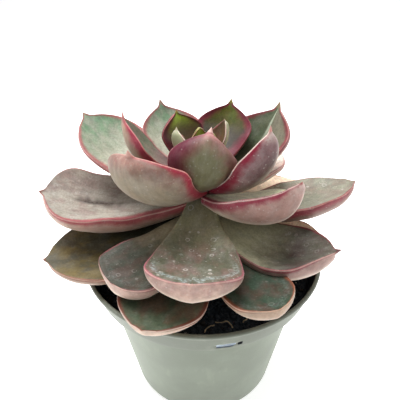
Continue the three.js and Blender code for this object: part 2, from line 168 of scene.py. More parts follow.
LOOKS = {
    "shaded": Look((60, 58, 46), (72, 52, 40), (44, 42, 32), (186, 156, 136), (150, 122, 104),
                   (112, 66, 50), (218, 190, 172), 0.9, 1.6, 0.25, 0.1),
    "fern": Look((76, 88, 68), (98, 84, 66), (74, 76, 62), (196, 170, 152), (164, 136, 116),
                 (116, 60, 48), (228, 206, 188), 1.5, 1.2, 0.25, 0.1, point=(160, 120, 100),
                 foot_flush=0.6),
    "olive": Look((82, 79, 62), (108, 95, 58), (48, 52, 38), (158, 130, 112), (124, 98, 84),
                  (134, 82, 62), (206, 176, 158), 0.7, 1.2, 0.3, 0.1, foot_to=0.72, slant=0.7,
                  foot_flush=0.4),
    "bottle": Look((50, 68, 52), (70, 58, 46), (58, 68, 44), (160, 136, 116), (148, 122, 104),
                   (128, 72, 50), (214, 184, 160), 1.2, 1.2, 0.2, 0.2, film=0.1, slant=0.6,
                   foot_flush=0.4),
    # dusky: painted light, the foot is made far paler than the face to make up for the shade of the leaves
    # above
    "dusky": Look((54, 58, 44), (74, 60, 50), (156, 146, 118), (172, 142, 130), (172, 148, 132),
                  (132, 66, 74), (216, 186, 170), 0.9, 1.4, 0.25, 0.3, film=0.1, foot_flush=0.15),
    # tan: painted light, its upper side and foot are made very pale to make up for the shade it lies in
    "tan": Look((240, 226, 198), (226, 200, 174), (170, 150, 122), (190, 162, 140), (166, 132, 112),
                (156, 100, 80), (210, 180, 162), 0.9, 1.4, 0.4, 0.2),
    "mauve": Look((118, 114, 92), (124, 96, 88), (96, 84, 60), (184, 156, 144), (150, 118, 106),
                  (148, 84, 86), (210, 172, 166), 1.2, 2.2, 0.5, 0.3),
    # smoky: painted light, the foot is made far paler than the face to make up for the shade of the leaves
    # above
    "smoky": Look((90, 88, 76), (86, 74, 68), (182, 180, 146), (154, 124, 116), (156, 132, 120),
                  (136, 60, 68), (206, 174, 162), 0.9, 2.2, 0.4, 0.4, lean=0.3, point=(84, 44, 50),
                  slant=0.9, foot_flush=0.35, foot_to=0.72),
    "frosted": Look((164, 157, 145), (146, 130, 122), (130, 126, 106), (184, 150, 136), (180, 146, 130),
                    (158, 76, 80), (214, 176, 166), 1.4, 1.7, 0.6, 0.4, lean=0.4, slant=0.9, foot_to=0.5),
    "spotted": Look((88, 88, 70), (112, 92, 82), (134, 130, 100), (164, 134, 124), (186, 160, 142),
                    (160, 84, 98), (214, 180, 166), 0.9, 1.5, 0.5, 0.9, film=0.6, slant=1.2,
                    foot_flush=0.05),
    "powdered": Look((142, 142, 124), (138, 126, 112), (120, 110, 86), (128, 88, 76), (112, 74, 54),
                     (140, 52, 64), (196, 154, 142), 1.0, 2.2, 0.4, 0.8, lean=-0.4, slant=0.35),
    # blush: painted light, all its colours are made very pale to make up for the shade it lies in
    "blush": Look((250, 236, 222), (240, 216, 202), (214, 188, 168), (250, 232, 218), (240, 214, 198),
                  (190, 124, 120), (240, 220, 208), 0.9, 1.4, 0.3, 0.1),
    "jade": Look((104, 140, 106), (142, 150, 130), (180, 178, 160), (176, 146, 134), (150, 112, 104),
                 (168, 100, 100), (212, 176, 170), 2.0, 2.0, 0.4, 0.1, foot_to=0.95,
                 point=(158, 140, 122)),
    # rosy: painted light, its upper side and foot are made very pale to make up for the shade of the leaf
    # above them
    "rosy": Look((246, 250, 208), (246, 244, 216), (240, 240, 212), (172, 136, 126), (160, 126, 116),
                 (140, 40, 64), (228, 200, 192), 1.0, 1.5, 0.6, 1.0, lean=-0.8, point=(150, 70, 70),
                 slant=1.1),
    "moss": Look((86, 98, 16), (92, 88, 22), (54, 44, 40), (150, 124, 112), (128, 92, 84), (112, 30, 50),
                 (196, 110, 112), 3.0, 2.2, 0.1, 0.0, foot_to=0.96, point=(142, 146, 70)),
    "sage": Look((70, 80, 54), (122, 116, 98), (112, 110, 86), (156, 130, 118), (134, 102, 92),
                 (130, 56, 64), (200, 148, 138), 2.2, 2.2, 0.25, 0.0, rib=0.8, point=(146, 136, 104)),
    "clay": Look((128, 116, 94), (128, 108, 94), (110, 90, 78), (130, 98, 88), (142, 130, 110),
                 (150, 34, 56), (206, 158, 146), 1.5, 1.6, 0.5, 0.7, lean=0.8, slant=0.25,
                 point=(200, 158, 146)),
    "wine": Look((118, 124, 102), (132, 124, 106), (126, 84, 90), (168, 142, 122), (140, 114, 98),
                 (146, 28, 58), (206, 132, 128), 1.8, 2.2, 0.4, 0.1, lean=0.95, point=(186, 126, 116),
                 slant=0.45),
    "plum": Look((128, 112, 100), (106, 88, 80), (92, 60, 60), (134, 102, 104), (84, 58, 58),
                 (124, 6, 42), (246, 234, 220), 1.1, 1.8, 0.6, 0.9, lean=-0.95, point=(206, 130, 124),
                 slant=0.4),
    "limed": Look((172, 204, 66), (176, 190, 80), (72, 28, 36), (120, 96, 76), (96, 56, 56), (84, 22, 38),
                  (196, 110, 112), 2.3, 2.6, 0.08, 0.0, foot_to=1.06, point=(170, 178, 92), lean=0.5),
    "heartward": Look((138, 118, 96), (118, 88, 74), (96, 50, 54), (146, 98, 94), (110, 108, 78),
                      (92, 0, 38), (234, 168, 168), 2.2, 5.6, 0.4, 0.5, lean=-0.95, point=(226, 190, 178),
                      slant=0.1),
    "pale": Look((96, 76, 50), (104, 68, 50), (80, 52, 44), (172, 174, 138), (146, 144, 108),
                 (150, 84, 92), (240, 232, 210), 0.6, 0.8, 0.2, 0.0, point=(196, 184, 150)),
    "bud": Look((164, 186, 72), (156, 160, 84), (110, 96, 52), (156, 168, 88), (136, 130, 76),
                (120, 66, 58), (200, 176, 130), 0.7, 1.2, 0.1, 0.0, point=(170, 176, 110)),
}

# What all looks have in common.
PALE_FOLD = (176, 184, 162)
WAXY_POWDER = (186, 184, 178)
DRIED_FILM = (172, 184, 184)
DRIED_DROP = (206, 200, 192)
SCAR_BROWN = (74, 62, 56)
PAINTED_SHEEN_CREAM = (234, 216, 200)    # painted sheen: the colour the underside is painted towards where it is seen at a slant

# Scars on the upper side: share along the leaf, share across it (left is positive),
# half length and half width in the same shares, strength.
SCARS = {
    "middle_leaf_04": [(0.64, -0.02, 0.17, 0.1, 1.0), (0.5, 0.05, 0.12, 0.07, 0.8)],
    "outer_leaf_08": [(0.9, -0.2, 0.02, 0.05, 0.8), (0.94, 0.05, 0.015, 0.06, 0.8)],
}


def tone(colour):
    """A colour given in 0 to 255 as seen on a screen, as the linear value a material takes."""
    shares = [value / 255 for value in colour]
    linear = [s / 12.92 if s <= 0.04045 else ((s + 0.055) / 1.055) ** 2.4 for s in shares]
    return (*linear, 1.0)


# ---- meshes --------------------------------------------------------------------------

def add_object(name, data):
    """An object in the scene, at the origin."""
    obj = bpy.data.objects.new(name, data)
    bpy.context.scene.collection.objects.link(obj)
    return obj


def make_object(name, points, faces, *materials):
    """An object whose mesh is given in millimetres, in place, shaded smooth."""
    mesh = bpy.data.meshes.new(name)
    mesh.from_pydata((np.asarray(points) * MM).tolist(), [], faces)
    mesh.validate()
    mesh.shade_smooth()
    for material in materials:
        mesh.materials.append(material)
    return add_object(name, mesh)


def modified_mesh(obj):
    """The mesh that an object's modifiers make of it."""
    bpy.context.view_layer.update()
    return bpy.data.meshes.new_from_object(obj.evaluated_get(bpy.context.evaluated_depsgraph_get()))


def full_turn(steps):
    """Angles all the way round."""
    return np.linspace(0, 2 * np.pi, steps, endpoint=False)


def level_ring(radius, height, angles, x=0, y=0):
    """Points round an upright line. The radius and the height may differ from angle to angle."""
    return np.stack([x + radius * np.cos(angles), y + radius * np.sin(angles), 0 * angles + height], 1)


def tube_faces(rings, sides):
    """Quads between rings of points, each ring running the same way round."""
    faces = []
    for i in range(rings - 1):
        for j in range(sides):
            k = (j + 1) % sides
            faces.append((i * sides + j, i * sides + k, (i + 1) * sides + k, (i + 1) * sides + j))
    return faces


def closed_tube(rings, first, last):
    """Points and faces of a tube of rings, closed by a point at each end. The rings run
    counterclockwise when seen from the last one, so that the faces point outwards."""
    count, sides, _ = rings.shape
    points = np.vstack([rings.reshape(-1, 3), first, last])
    faces = tube_faces(count, sides)
    a, b = count * sides, count * sides + 1
    for j in range(sides):
        k = (j + 1) % sides
        faces.append((k, j, a))
        faces.append(((count - 1) * sides + j, (count - 1) * sides + k, b))
    return points, faces


def smooth_step(low, high, value):
    """From 0 at low to 1 at high, level at both ends."""
    share = np.clip((value - low) / (high - low), 0, 1)
    return share * share * (3 - 2 * share)


WAVES = 6
WAVES_HEIGHT = 3.5           # brings the sum of so many waves to between about -1 and 1
PITCHES = (0.6, 1.6)         # the longest and the shortest wave, in waves for each scale


def ripples(x, y, seed, scale):
    """A smooth uneven surface between about -1 and 1, from a few crossed waves."""
    rng = np.random.default_rng(seed)
    total = np.zeros_like(x)
    for _ in range(WAVES):
        angle, phase, pitch = rng.uniform(0, 2 * math.pi), rng.uniform(0, 2 * math.pi), rng.uniform(*PITCHES)
        wave = (x * math.cos(angle) + y * math.sin(angle)) * 2 * math.pi * pitch / scale
        total += np.sin(wave + phase)
    return total / WAVES_HEIGHT


def store(obj, name, values):
    """Keeps one number, or one place, for each point of a mesh."""
    values = np.asarray(values, np.float32)
    kind, key = ("FLOAT_VECTOR", "vector") if values.ndim == 2 else ("FLOAT", "value")
    attribute = obj.data.attributes.new(name, kind, "POINT")
    attribute.data.foreach_set(key, values.ravel())


# ---- leaves --------------------------------------------------------------------------

LEAF_SIDES = 56
LEAF_ROWS = 84
LEAF_SINK = 1.2              # how far a leaf starts inside the stem
UPPER_SHARE = 0.14           # how much of the thickness is above the margins
FULLEST = 0.55               # the share of the length where a leaf is thickest
USUAL_LENGTH = 45            # of a leaf, by which the small point at the tip is measured
POINT_SHARE = 0.27           # how wide the small point begins, by the leaf's width
LEAF_SEEDS = (11, 7)         # the first leaf's seed, and the step to the next one's

# What strays from a leaf's smooth shape: height and pitch, in mm.
BENDS = (0.45, 34)
DIMPLES = (0.1, 9)
WAVY_MARGIN = (0.35, 16)
SCAR_RAG = 5                 # the pitch of a scar's ragged edge
PATTERN_STEP = 60.0          # how far apart the leaves lie in the patterns of their colours
PATTERN_PLACES = 97


def stem_radius(height):
    return float(np.interp(height, [h for h, _ in STEM], [r for _, r in STEM]))


def half_width(along, leaf):
    """Half the leaf's width, in mm, at shares of its length."""
    widest = leaf["widest"]
    swell = np.sin(np.pi / 2 * np.clip(along / widest, 0, 1)) ** 1.25
    rising = leaf["footing"] + (1 - leaf["footing"]) * swell
    past = np.clip((along - widest) / (1 - widest), 0, 1)
    falling = (1 - past ** leaf["blunt"]) ** leaf["soft"]
    return leaf["width"] / 2 * np.where(along < widest, rising, falling)


def thickness(along, leaf):
    """The leaf's thickness in the middle, in mm, at shares of its length."""
    rising = 0.55 + 0.45 * np.sin(np.pi / 2 * np.clip(along / FULLEST, 0, 1))
    past = np.clip((along - FULLEST) / (1 - FULLEST), 0, 1)
    return leaf["thick"] * np.where(along < FULLEST, rising, (1 - past ** leaf["fall"]) ** 0.6)


def with_point(along, leaf):
    """Half the width and the thickness, with the small point at the tip."""
    to_point = np.clip((along[-1] - along) / (2.2 * (along[-1] - 1) + 0.003), 0, 1) ** 1.1
    point_half = POINT_SHARE * leaf["width"] / 2 * to_point * smooth_step(0.6, 0.85, along)
    half = (half_width(along, leaf) ** 3 + point_half ** 3) ** (1 / 3)
    thick = np.maximum(thickness(along, leaf), 0.6 * point_half)
    return half[:, None], thick[:, None]


def midrib(leaf, along):
    """Points and directions of the leaf's middle line, x away from the stem, y to the left."""
    start = np.array([stem_radius(leaf["foot"]) - LEAF_SINK, 0, leaf["foot"]])
    tip = np.array([leaf["reach"], leaf["sway"], leaf["rise"]])
    run = tip - start
    below = np.array([run[2], 0, -run[0]])
    below /= np.linalg.norm(below)
    bend = start + 0.6 * run + 2 * leaf["sag"] * below
    bend[1] = leaf["sway"] / 4
    t = along[:, None]
    centre = (1 - t) ** 2 * start + 2 * t * (1 - t) * bend + t * t * tip
    forward = 2 * (1 - t) * (bend - start) + 2 * t * (tip - bend)
    length = np.linalg.norm(np.diff(centre, axis=0), axis=1).sum()
    return centre, forward / np.linalg.norm(forward, axis=1, keepdims=True), length


def turned_about(vectors, axes, degrees):
    """Each vector turned about its own axis, to which it is square."""
    angle = math.radians(degrees)
    return vectors * math.cos(angle) + np.cross(axes, vectors) * math.sin(angle)


def leaf_axes(forward, roll):
    """The directions to the left and up from each point of the middle line."""
    left = np.array([0, 1.0, 0]) - forward * forward[:, 1:2]
    left /= np.linalg.norm(left, axis=1, keepdims=True)
    up = np.cross(forward, left)
    return [turned_about(axis, forward, roll)[:, None, :] for axis in (left, up)]


def leaf_rows():
    """Shares of a leaf's length, closer together towards the tip."""
    q = np.linspace(0, 1, LEAF_ROWS)
    return 0.45 * q + 0.55 * np.sin(np.pi / 2 * q)


def leaf_section(leaf, along, across, lift):
    """Half the width, and the height of each point over the middle line: flat above, full
    below, with the margins curled up."""
    half, thick = with_point(along, leaf)
    keel = leaf["keel"] * smooth_step(0.55, 0.98, along)[:, None]
    belly = np.abs(lift) ** 0.85 * (1 - keel) + keel * (1 - np.abs(across)) ** 0.9
    skin = np.where(lift > 0, UPPER_SHARE * np.abs(lift) ** 0.7, -(1 - UPPER_SHARE) * belly) * thick
    curl = leaf["cup"] * half * np.minimum(along / 0.5, 1)[:, None] * across ** 2
    return half, skin + curl


def unevenness(along, across, lift, half, ahead, seed):
    """Bends, dimples and wavy margins, calmer near the stem and where the leaf is narrow."""
    side = across * half
    calm = smooth_step(0.0, 0.3, along)[:, None] * smooth_step(0, 6, half)

    def waves(size, x, y, own_seed):
        height, pitch = size
        return height * ripples(x, y, own_seed, pitch) * calm

    bend = waves(BENDS, side, ahead, seed)
    dimple = waves(DIMPLES, side, ahead, seed + 500 * (1 + (seed % 2))) * np.abs(lift)
    edge = waves(WAVY_MARGIN, ahead + 7 * np.sign(across), ahead * 0, seed + 90) * across ** 8
    return bend, dimple, edge


def from_margin(rings):
    """How far each point is from the nearest point of the two margins."""
    margin = np.vstack([rings[:, 0], rings[:, LEAF_SIDES // 2]])
    flat = rings.reshape(-1, 3)
    return np.sqrt(((flat[:, None, :] - margin[None]) ** 2).sum(2).min(1))


def shape_leaf(leaf, seed):
    """The rings of points of a leaf and, for each point, what its colours follow."""
    along = leaf_rows() * (1 + leaf["point"] / USUAL_LENGTH)
    centre, forward, length = midrib(leaf, along)
    left, up = leaf_axes(forward, leaf["roll"])
    angle = full_turn(LEAF_SIDES)[None, :]
    across, lift = np.cos(angle), np.sin(angle)
    half, section = leaf_section(leaf, along, across, lift)
    side, ahead = across * half, np.broadcast_to((along * length)[:, None], section.shape)
    height = sum(unevenness(along, across, lift, half, ahead, seed), section)

    rings = centre[:, None, :] + left * side[..., None] + up * height[..., None]
    turn = math.radians(leaf["turn"])
    spin = np.array([[math.cos(turn), math.sin(turn), 0], [-math.sin(turn), math.cos(turn), 0], [0, 0, 1]])
    rings = rings @ spin
    apart = PATTERN_STEP * (seed % PATTERN_PLACES)
    facts = {
        "rim": from_margin(rings),
        "upper": np.broadcast_to(smooth_step(-0.25, 0.25, lift), height.shape).ravel(),
        "along": np.broadcast_to(along[:, None], height.shape).ravel(),
        "place": np.stack([side.ravel(), ahead.ravel(), height.ravel() + apart], 1),
        "left": np.broadcast_to(across, height.shape).ravel(),
    }
    return rings, facts


def scarred(facts, scars, seed):
    """How strongly each point of the upper side is scarred, from 0 to 1."""
    total = np.zeros_like(facts["along"])
    rag = ripples(facts["place"][:, 0], facts["place"][:, 1], seed, SCAR_RAG)
    for along, across, half_length, half_wide, strength in scars:
        away = np.hypot((facts["along"] - along) / half_length, (facts["left"] - across) / half_wide)
        total = np.maximum(total, strength * smooth_step(1.25, 0.5, away + 0.3 * rag))
    return total * smooth_step(0.5, 0.9, facts["upper"])


def make_leaf(name, leaf, number, material):
    """One leaf, with what its colours follow kept in its mesh."""
    first, step = LEAF_SEEDS
    rings, facts = shape_leaf(leaf, first + step * number)
    points, faces = closed_tube(rings, rings[0].mean(0), rings[-1].mean(0))
    obj = make_object(f"leaf_{name}", points, faces, material)
    facts["scar"] = scarred(facts, SCARS.get(name, []), number)
    for key, values in facts.items():
        ends = np.array([values[:LEAF_SIDES].mean(0), values[-LEAF_SIDES:].mean(0)])
        store(obj, key, np.concatenate([values, ends]))
    return obj


def make_leaves():
    """One object for each leaf, each with the material of its look."""
    materials = {name: leaf_material(name, look) for name, look in LOOKS.items()}
    made = []
    for age, rows in LEAVES.items():
        for place, (*values, own) in enumerate(rows, 1):
            leaf = {**PLAIN_LEAF, **AGES[age], **dict(zip(LEAF_COLUMNS, values)), **own}
            name = f"{age}_leaf_{place:02d}"
            obj = make_leaf(name, leaf, len(made), materials[leaf["look"]])
            made.append((obj, name, f"{age}_leaf"))
    return made


# ---- node trees ----------------------------------------------------------------------

COLOUR, NUMBER, PLACE = "NodeSocketColor", "NodeSocketFloat", "NodeSocketVector"
SHAPE, WHOLE, FINISH = "NodeSocketGeometry", "NodeSocketInt", "NodeSocketMaterial"
SURFACE = [("Colour", COLOUR), ("Roughness", NUMBER), ("Height", NUMBER)]


def new_group(name, kind, inputs, outputs):
    """A node group with named inputs, given as (name, socket type, default), and outputs."""
    tree = bpy.data.node_groups.new(name, kind)
    for label, socket, default in inputs:
        made = tree.interface.new_socket(label, in_out="INPUT", socket_type=socket)
        if default is not None:
            made.default_value = default
    for label, socket in outputs:
        tree.interface.new_socket(label, in_out="OUTPUT", socket_type=socket)
    return tree, tree.nodes.new("NodeGroupInput"), tree.nodes.new("NodeGroupOutput")


class Maker:
    """Adds nodes to a tree and joins them. Where a value goes in, a socket may go in too, and
    most helpers return the socket that goes on."""

    def __init__(self, tree):
        self.tree = tree

    def fill(self, node, values):
        """Wires sockets to a node's inputs, given by name or number, and sets the other values."""
        for key, value in values.items():
            if isinstance(value, bpy.types.NodeSocket):
                self.tree.links.new(value, node.inputs[key])
            elif value is not None:
                node.inputs[key].default_value = value

    def add(self, kind, values, **settings):
        """A node with its settings and its inputs."""
        node = self.tree.nodes.new(kind)
        for name, value in settings.items():
            setattr(node, name, value)
        self.fill(node, values)
        return node

    def group(self, name, build):
        """A node for the shader group of that name, which is built once."""
        return self.add("ShaderNodeGroup", {}, node_tree=bpy.data.node_groups.get(name) or build())

    def math(self, how, a, b=None, clamp=False):
        return self.add("ShaderNodeMath", {0: a, 1: b}, operation=how, use_clamp=clamp).outputs[0]

    def plus(self, a, b):
        return self.math("ADD", a, b)

    def minus(self, a, b):
        return self.math("SUBTRACT", a, b)

    def times(self, first, *others, clamp=False):
        for other in others:
            first = self.math("MULTIPLY", first, other, clamp)
        return first

    def ramp(self, value, low, high, first=0.0, last=1.0):
        """value taken smoothly from low..high to first..last."""
        values = {"Value": value, "From Min": low, "From Max": high, "To Min": first, "To Max": last}
        return self.add("ShaderNodeMapRange", values, interpolation_type="SMOOTHSTEP").outputs["Result"]

    def mix(self, share, a, b):
        """Colour a with that share of colour b."""
        return self.add("ShaderNodeMix", {"Factor": share, 6: a, 7: b}, data_type="RGBA").outputs[2]

    def mix_values(self, share, a, b):
        return self.add("ShaderNodeMix", {0: share, 2: a, 3: b}).outputs[0]

    def scaled(self, colour, by):
        return self.add("ShaderNodeVectorMath", {0: colour, "Scale": by}, operation="SCALE").outputs[0]

    def stretch(self, place, scale, shift=(0, 0, 0)):
        values = {"Vector": place, "Scale": scale, "Location": shift}
        return self.add("ShaderNodeMapping", values).outputs["Vector"]

    def noise(self, place, scale, detail, rough):
        values = {"Vector": place, "Scale": scale, "Detail": detail, "Roughness": rough}
        return self.add("ShaderNodeTexNoise", values).outputs["Fac"]

    def cells(self, place, shift, scale):
        """How far a point is from the middle of its cell, and the cell's own number."""
        moved = self.stretch(place, (1, 1, 1), shift)
        node = self.add("ShaderNodeTexVoronoi", {"Vector": moved, "Scale": scale})
        return node.outputs["Distance"], node.outputs["Color"]

    def attribute(self, name, key="Fac"):
        return self.add("ShaderNodeAttribute", {}, attribute_name=name).outputs[key]

    def facing(self, blend):
        """0 where a surface is seen square, and 1 where it is seen at its edge."""
        return self.add("ShaderNodeLayerWeight", {"Blend": blend}).outputs["Facing"]

    def relief(self, height, depth):
        """A fine relief, its depth in metres."""
        values = {"Distance": depth, "Strength": 1.0, "Height": height}
        return self.add("ShaderNodeBump", values).outputs["Normal"]

    def place(self):
        """The place on the piece in millimetres."""
        node = self.add("ShaderNodeTexCoord", {})
        return self.stretch(node.outputs["Object"], (1 / MM, 1 / MM, 1 / MM))


def new_material(name):
    """A material with a surface shader, and the helper that adds nodes to it."""
    material = bpy.data.materials.new(name)
    material.use_nodes = True
    tree = material.node_tree
    return material, Maker(tree), tree.nodes["Principled BSDF"]


# ---- the leaves' finish --------------------------------------------------------------
# Each function adds one layer of the leaf skin: m adds nodes, g holds the group's inputs.

FOLD_HALF = 0.07             # the pale fold's half width, as a share of half the leaf's width
RIM_LINE = 0.62              # how wide the margin's own line is, in mm, at most
FILM_FROM, FILM_TO = 1.2, 3.8    # how far from the margin the dried film starts and ends, in mm
DROP_CELLS = 0.34            # large drops, small dots and flecks: cells for each mm
DOT_CELLS = 0.8
FLECK_CELLS = 1.3
DROP_RING = 0.34             # the largest drop's radius, as a share of its cell


def upper_side(m, g, wander):
    """Patches, the foot's own colour and the pale fold."""
    cloud = m.noise(m.stretch(g["Place"], (0.2, 0.11, 0.2)), 1.0, 5, 0.62)
    patches = m.mix_values(g["Rib"], m.ramp(cloud, 0.4, 0.62), m.ramp(g["Left"], 0.05, -0.2))
    face = m.mix(patches, g["Face"], g["Face patches"])
    uneven = m.plus(g["Along"], m.times(wander, 0.16))
    face = m.mix(m.ramp(uneven, g["Foot to"], m.minus(g["Foot to"], 0.45), 0.0, 0.92), face, g["Foot"])
    fold = m.times(m.ramp(m.math("ABSOLUTE", g["Left"]), FOLD_HALF, 0.02), g["Rib"])
    return m.mix(m.times(fold, m.ramp(g["Along"], 0.5, 0.8)), face, tone(PALE_FOLD))


def underside(m, g, inward, mottle):
    """From the margin's colour to the middle's, with patches, and the foot's own colour."""
    back = m.mix(m.ramp(inward, 1.5, 8.0), g["Back"], g["Belly"])
    back = m.mix(m.ramp(mottle, 0.5, 0.72, 0.0, 0.3), back, g["Belly"])
    return m.mix(m.ramp(g["Along"], 0.45, 0.1, 0.0, 0.6), back, g["Foot"])


def margin_flush(m, g, wander):
    """How strong the flush along the margin is."""
    along = g["Along"]
    band = m.mix_values(g["Upper"], g["Back band"], g["Band"])
    side = m.math("MAXIMUM", m.plus(m.times(g["Left"], g["Lean"]), 1.0), 0.25)
    reach = m.times(band, m.plus(wander, 1.0), side, m.ramp(along, 0.75, 0.15, 1.0, 1.8))
    reach = m.times(reach, m.ramp(along, 0.75, 0.98, 1.0, 0.4))
    reach = m.times(reach, m.ramp(along, 0.35, 0.75, g["Foot flush"], 1.0))
    flush = m.minus(1.0, m.math("DIVIDE", g["Rim"], m.math("MAXIMUM", reach, 0.05)))
    return m.times(flush, 1.6, clamp=True)


def with_margin(m, g, skin, flush, lower, grain):
    """The flush, the underside's paler tip and the margin's own thin line."""
    skin = m.mix(m.times(flush, 0.95), skin, g["Flush"])
    skin = m.mix(m.times(m.ramp(g["Along"], 0.9, 1.0, 0.0, 0.35), lower), skin, g["Edge"])
    line = m.ramp(m.plus(g["Rim"], m.times(grain, 0.4)), RIM_LINE, 0.3)
    return m.mix(m.times(line, m.ramp(g["Upper"], 0.9, 0.2, 0.15, 0.9)), skin, g["Edge"])


def waxy_powder(m, g, haze, specks, flush):
    """How much powder lies on the skin; there is less of it on the flush."""
    powder = m.plus(m.times(haze, 0.55), m.times(specks, 0.25))
    return m.times(m.times(powder, g["Bloom"], clamp=True), m.ramp(flush, 0.0, 1.0, 1.0, 0.5))


def dried_film(m, g, grain):
    """What water left inside the margin of the upper side, towards the tip."""
    strip = m.times(m.ramp(g["Rim"], FILM_FROM, 2.0), m.ramp(g["Rim"], FILM_TO, 2.2))
    strip = m.times(strip, m.times(m.ramp(g["Along"], 0.6, 0.8), g["Upper"]))
    return m.times(strip, m.ramp(grain, 0.4, 0.62), g["Film"])


def dried_drops(m, g, haze, specks):
    """Rings where large drops dried on the upper side, and small dots on both sides."""
    away, which = m.cells(g["Place"], (3.1, 1.7, 0), DROP_CELLS)
    ring = m.ramp(m.math("ABSOLUTE", m.minus(away, m.times(which, DROP_RING))), 0.07, 0.02)
    ring = m.times(ring, m.times(m.ramp(which, 0.5, 0.56), g["Upper"]), m.ramp(haze, 0.1, 0.6))
    away, which = m.cells(g["Place"], (0.4, 2.3, 0), DOT_CELLS)
    dot = m.times(m.ramp(away, 0.26, 0.16), m.ramp(which, 0.52, 0.62), m.ramp(specks, 0.0, 0.5, 0.45, 1.0))
    return m.times(m.math("MAXIMUM", ring, m.times(dot, 0.9)), g["Spots"])


def flecks(m, g, inward, lower):
    """Small flecks of the flush's colour on the underside, near the margin."""
    away, which = m.cells(g["Place"], (5.7, 0.6, 0), FLECK_CELLS)
    fleck = m.times(m.ramp(away, 0.42, 0.24), m.ramp(which, 0.42, 0.56))
    return m.times(fleck, m.ramp(inward, 7.0, 1.5), lower)


def leaf_skin_group():
    """The look of a leaf: patches, margin flush, waxy bloom, dried drops and scars."""
    colours = ("Face", "Face patches", "Foot", "Back", "Belly", "Flush", "Edge", "Point")
    numbers = ("Band", "Back band", "Lean", "Foot flush", "Foot to", "Bloom", "Spots", "Film", "Rib",
               "Rim", "Upper", "Along", "Left", "Scar")
    inputs = [(name, COLOUR, None) for name in colours] + [(name, NUMBER, 0.0) for name in numbers]
    tree, given, out = new_group("Leaf skin", "ShaderNodeTree", [*inputs, ("Place", PLACE, None)], SURFACE)
    m, g = Maker(tree), given.outputs
    place, lower = g["Place"], m.minus(1.0, g["Upper"])
    wander = m.minus(m.noise(place, 0.35, 3, 0.55), 0.5)
    inward = m.plus(g["Rim"], m.times(wander, 5.0))
    grain = m.noise(place, 1.3, 5, 0.7)
    mottle = m.noise(m.stretch(place, (0.5, 0.24, 0.5)), 1.0, 4, 0.62)
    haze = m.ramp(m.noise(m.stretch(place, (0.3, 0.16, 0.3)), 1.0, 4, 0.65), 0.38, 0.68)
    specks = m.ramp(m.noise(place, 2.0, 2, 0.6), 0.56, 0.72)

    flush = margin_flush(m, g, wander)
    powder = waxy_powder(m, g, haze, specks, flush)
    drops = dried_drops(m, g, haze, specks)
    skin = m.mix(g["Upper"], underside(m, g, inward, mottle), upper_side(m, g, wander))
    skin = with_margin(m, g, skin, flush, lower, grain)
    skin = m.mix(m.times(powder, 0.5), skin, tone(WAXY_POWDER))
    skin = m.scaled(skin, m.ramp(mottle, 0.3, 0.7, 0.86, 1.12))
    skin = m.scaled(skin, m.mix_values(g["Upper"], m.ramp(grain, 0.32, 0.68, 0.95, 1.04),
                                       m.ramp(grain, 0.32, 0.68, 0.84, 1.13)))
    skin = m.mix(dried_film(m, g, grain), skin, tone(DRIED_FILM))
    skin = m.mix(m.times(flecks(m, g, inward, lower), g["Spots"], 0.28), skin, g["Flush"])
    skin = m.mix(m.times(drops, 0.6), skin, tone(DRIED_DROP))
    skin = m.mix(m.times(g["Scar"], m.ramp(grain, 0.3, 0.55, 0.5, 1.0)), skin, tone(SCAR_BROWN))
    skin = m.mix(m.ramp(g["Along"], 1.0, 1.02, 0.0, 0.75), skin, g["Point"])

    rough = m.plus(m.plus(0.48, m.times(powder, 0.25)), m.times(g["Scar"], 0.2))
    height = m.plus(m.plus(m.times(grain, 0.4), m.times(mottle, 0.5)), m.times(drops, 0.5))
    m.fill(out, {"Colour": skin, "Roughness": rough, "Height": m.minus(height, g["Scar"])})
    return tree


def leaf_material(name, look):
    """The leaf skin in one look, with a painted sheen: its underside is painted paler where it is seen at a
    slant.
    """
    material, m, shader = new_material(f"leaf {name}")
    skin = m.group("Leaf skin", leaf_skin_group)
    for key, value in look._asdict().items():
        if key != "slant":
            label = key.replace("_", " ").capitalize()
            m.fill(skin, {label: tone(value) if isinstance(value, tuple) else value})
    m.fill(skin, {key.capitalize(): m.attribute(key) for key in ("rim", "upper", "along", "left", "scar")})
    m.fill(skin, {"Place": m.attribute("place", "Vector")})
    lower = m.math("SUBTRACT", 0.9, m.attribute("upper"), clamp=True)
    lower = m.times(lower, m.ramp(m.attribute("rim"), 1.0, 4.0, 0.3, 1.0))
    # Painted sheen: the underside's colour is painted paler where it is seen at a slant, less so at the
    # margin.
    pale = m.times(m.ramp(m.facing(0.5), 0.55, 0.96, 0.0, 0.75 * look.slant), lower)
    m.fill(shader, {
        "Base Color": m.mix(pale, skin.outputs["Colour"], tone(PAINTED_SHEEN_CREAM)),
        "Roughness": skin.outputs["Roughness"],
        "Normal": m.relief(skin.outputs["Height"], 0.00012),
        "Specular IOR Level": 0.28,
        "Subsurface Weight": 0.12,
        "Subsurface Radius": (1.0, 0.45, 0.3),
        "Subsurface Scale": 0.0015,
    })
    return material


# ---- the pot's plastic ---------------------------------------------------------------

# Each plastic's own colour and its dust's, how much dust, and roughness; the two slot colours are a painted
# highlight and a painted shade, not the plastic's own.
PLASTICS = {
    "pale green plastic": ((128, 136, 121), (168, 172, 157), 0.22, 0.42),
    # also the slot's dark end, where this dark plastic is painted shade
    "dark plastic inside": ((16, 24, 32), (44, 50, 56), 0.1, 0.5),
    "pale green collar": ((110, 116, 103), (156, 160, 147), 0.35, 0.42),
    # painted highlight on the slot's lit lip, and painted shade along its lower edge
    "pale slot": ((196, 208, 220), (210, 216, 222), 0.2, 0.4),
    "slate blue slot": ((72, 92, 124), (110, 124, 146), 0.2, 0.5),
}
PAINTED_EDGE_SHEEN = 1.3        # painted sheen: the plastic's colour is painted paler where it is seen at a slant
